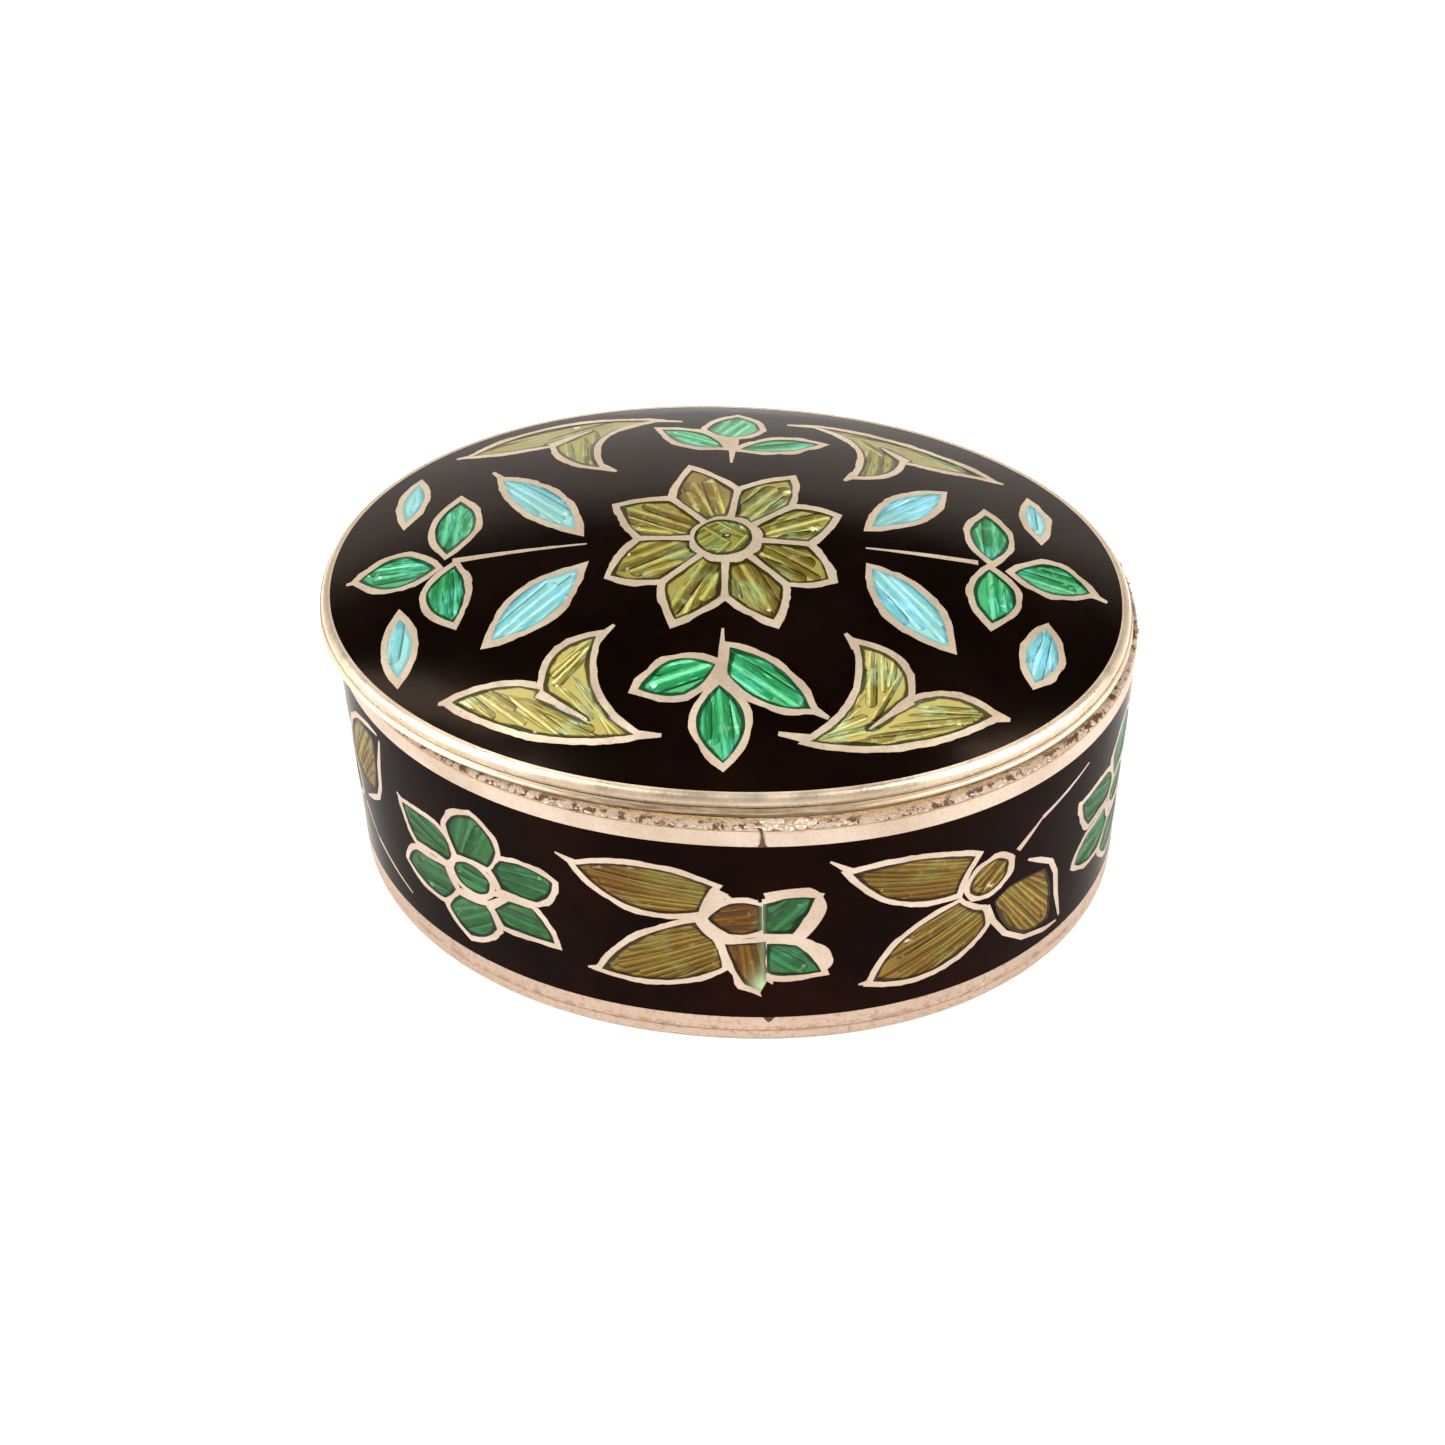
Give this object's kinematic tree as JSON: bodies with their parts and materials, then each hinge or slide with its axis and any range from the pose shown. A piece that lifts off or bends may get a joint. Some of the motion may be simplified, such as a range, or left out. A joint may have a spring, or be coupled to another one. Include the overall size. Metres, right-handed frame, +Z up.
{
  "type": "pill box",
  "caption": "Small oval metal pill box with straight walls and a lift-off domed lid, both inlaid all over with glass enamel flowers and leaves on a dark ground.",
  "frame": {"origin": "middle of the box's flat oval underside", "axes": "+X along the oval's length, +Y to the back, +Z up out of the lid; the end joint of the wall strip is in the front, at -Y"},
  "size_m": [0.0459, 0.0362, 0.0207],
  "materials": {
    "silver": "polished silver, worn soft by handling",
    "black_enamel": "glossy opaque glass enamel",
    "green_enamel": "glossy translucent glass enamel over engraved silver",
    "olive_enamel": "glossy translucent glass enamel over engraved silver",
    "turquoise_enamel": "glossy milky glass enamel over engraved silver"
  },
  "bodies": {
    "base": {"bottom_plate": "silver", "wall_bud_eye": "olive_enamel", "wall_bud_lower_petal": "olive_enamel", "wall_bud_outer_petal": "olive_enamel", "wall_bud_upper_petal": "olive_enamel", "wall_flower_disc": "green_enamel", "wall_flower_petal_1": "green_enamel", "wall_flower_petal_2": "green_enamel", "wall_flower_petal_3": "green_enamel", "wall_flower_petal_4": "green_enamel", "wall_flower_petal_5": "green_enamel", "wall_flower_petal_6": "green_enamel", "wall_ground_enamel": "black_enamel", "wall_joint_eye": "olive_enamel", "wall_joint_flower_lower_petal": "green_enamel", "wall_joint_flower_upper_petal": "green_enamel", "wall_joint_lower_petal": "olive_enamel", "wall_joint_small_petal": "olive_enamel", "wall_joint_upper_petal": "olive_enamel", "wall_liner": "silver", "wall_strip": "silver"},
    "lid": {"lid_drop_back_left": "turquoise_enamel", "lid_drop_back_right": "turquoise_enamel", "lid_drop_front_left": "turquoise_enamel", "lid_drop_front_right": "turquoise_enamel", "lid_flower_disc": "olive_enamel", "lid_flower_petal_1": "olive_enamel", "lid_flower_petal_2": "olive_enamel", "lid_flower_petal_3": "olive_enamel", "lid_flower_petal_4": "olive_enamel", "lid_flower_petal_5": "olive_enamel", "lid_flower_petal_6": "olive_enamel", "lid_flower_petal_7": "olive_enamel", "lid_flower_petal_8": "olive_enamel", "lid_ground_enamel": "black_enamel", "lid_plate": "silver", "lid_rim_strip": "silver", "lid_skirt": "silver", "lid_small_drop_back_left": "turquoise_enamel", "lid_small_drop_back_right": "turquoise_enamel", "lid_small_drop_front_left": "turquoise_enamel", "lid_small_drop_front_right": "turquoise_enamel", "lid_spray_back_left": "olive_enamel", "lid_spray_back_right": "olive_enamel", "lid_spray_front_left": "olive_enamel", "lid_spray_front_right": "olive_enamel", "lid_trefoil_back_left": "green_enamel", "lid_trefoil_back_middle": "green_enamel", "lid_trefoil_back_right": "green_enamel", "lid_trefoil_front_left": "green_enamel", "lid_trefoil_front_middle": "green_enamel", "lid_trefoil_front_right": "green_enamel", "lid_trefoil_left_lower": "green_enamel", "lid_trefoil_left_outer": "green_enamel", "lid_trefoil_left_upper": "green_enamel", "lid_trefoil_right_lower": "green_enamel", "lid_trefoil_right_outer": "green_enamel", "lid_trefoil_right_upper": "green_enamel"}
  },
  "joints": [
    {"name": "lid_lift", "type": "slide", "parent": "base", "child": "lid", "axis": [0, 0, 1], "range_m": [0, 0.03]}
  ]
}
